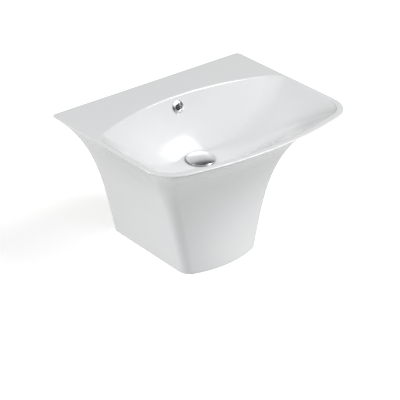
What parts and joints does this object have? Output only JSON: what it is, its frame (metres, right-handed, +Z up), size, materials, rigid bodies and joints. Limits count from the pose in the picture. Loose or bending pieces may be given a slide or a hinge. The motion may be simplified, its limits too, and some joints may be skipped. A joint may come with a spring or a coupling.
{
  "type": "wall-hung wash basin with half pedestal",
  "caption": "White glazed wash basin cast in one piece with a flared half pedestal, with overflow, pop-up waste, bottle trap and wall bolts.",
  "frame": {"origin": "middle of the line between the two wall bolts, in the plane of the wall", "axes": "+Y into the wall, +Z up, +X to the right of someone who stands in front of the basin"},
  "size_m": [0.56, 0.5, 0.362],
  "materials": {
    "basin": "glossy white glaze on vitreous china",
    "chrome": "bright chrome plate",
    "waste_chrome": "chrome plate on brass",
    "seal_rubber": "matt black rubber",
    "white_plastic": "white moulded plastic",
    "grey_plastic": "grey moulded plastic",
    "brass": "bare turned brass",
    "zinc_steel": "zinc-plated steel",
    "spring_steel": "stainless spring wire"
  },
  "bodies": {
    "basin": {"rim_left": "basin", "rim_right": "basin", "rim_front": "basin", "deck": "basin", "bowl_left": "basin", "bowl_right": "basin", "bowl_floor": "basin", "overflow_duct": "basin", "back_panel": "basin", "pedestal_left": "basin", "pedestal_right": "basin", "pedestal_front_left": "basin", "pedestal_front_right": "basin", "overflow_ring": "chrome", "cartridge": "brass", "cartridge_spring": "spring_steel", "waste_body": "waste_chrome", "flange_seal": "seal_rubber", "tail_seal": "seal_rubber", "tail_washer": "grey_plastic", "tail_nut": "brass", "union_nut": "white_plastic", "union_washer": "seal_rubber", "inlet_pipe": "white_plastic", "neck_nut": "white_plastic", "neck_washer": "seal_rubber", "trap_body": "white_plastic", "trap_cup": "white_plastic", "cup_seal": "seal_rubber", "outlet_nut": "white_plastic", "outlet_washer": "seal_rubber", "outlet_pipe": "white_plastic", "wall_flange": "white_plastic", "wall_bolts": "zinc_steel", "bolt_sleeves": "grey_plastic", "bolt_washers": "zinc_steel", "bolt_nuts": "zinc_steel"},
    "stopper": {"drain_cap": "chrome", "cap_seal": "seal_rubber", "plunger": "zinc_steel"}
  },
  "joints": [
    {"name": "stopper_lift", "type": "slide", "parent": "basin", "child": "stopper", "axis": [0, 0, 1], "range_m": [0, 0.009], "deforming": ["cartridge_spring"]}
  ]
}
